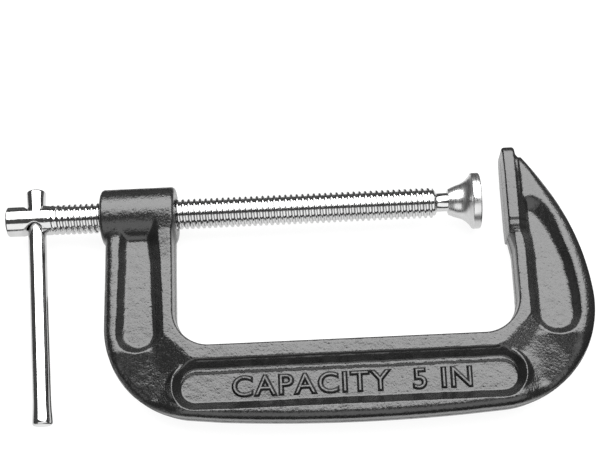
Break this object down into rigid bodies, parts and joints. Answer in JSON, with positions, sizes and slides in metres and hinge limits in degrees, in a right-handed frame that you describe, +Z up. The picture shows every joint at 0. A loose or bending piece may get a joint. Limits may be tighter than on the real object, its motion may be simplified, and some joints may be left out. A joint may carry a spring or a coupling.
{
  "type": "c clamp",
  "caption": "Cast C-shaped clamp with a threaded screw, swivelling pad and sliding cross bar, for pressing work against a fixed anvil.",
  "frame": {"origin": "centre of the anvil's flat face, on the screw's axis", "axes": "+X along the screw from the handle to the anvil, +Y from the spine towards the screw, +Z up from the table with the clamp lying on its side"},
  "size_m": [0.2577, 0.1191, 0.025],
  "materials": {
    "frame": "semi-gloss black paint over a cast surface",
    "screw": "bright plated steel",
    "swivel_pad": "bright plated steel",
    "handle_bar": "bright plated steel"
  },
  "bodies": {
    "frame": {"frame": "frame"},
    "pad": {"swivel_pad": "swivel_pad"},
    "screw": {"screw": "screw"},
    "handle": {"handle_bar": "handle_bar"}
  },
  "joints": [
    {"name": "screw_advance", "type": "slide", "parent": "frame", "child": "pad", "axis": [1, 0, 0], "range_m": [-0.1208, 0.0107]},
    {"name": "screw_turn", "type": "hinge", "parent": "pad", "child": "screw", "pos_m": [-0.0198, 0, 0], "axis": [1, 0, 0], "range_deg": [-17120, 1516]},
    {"name": "handle_slide", "type": "slide", "parent": "screw", "child": "handle", "axis": [-0.048, 0.9988, 0], "range_m": [0, 0.0785]}
  ],
  "couplings": [
    {"joint": "screw_advance", "follows": "screw_turn", "m_per_rad": 0.00040425}
  ]
}
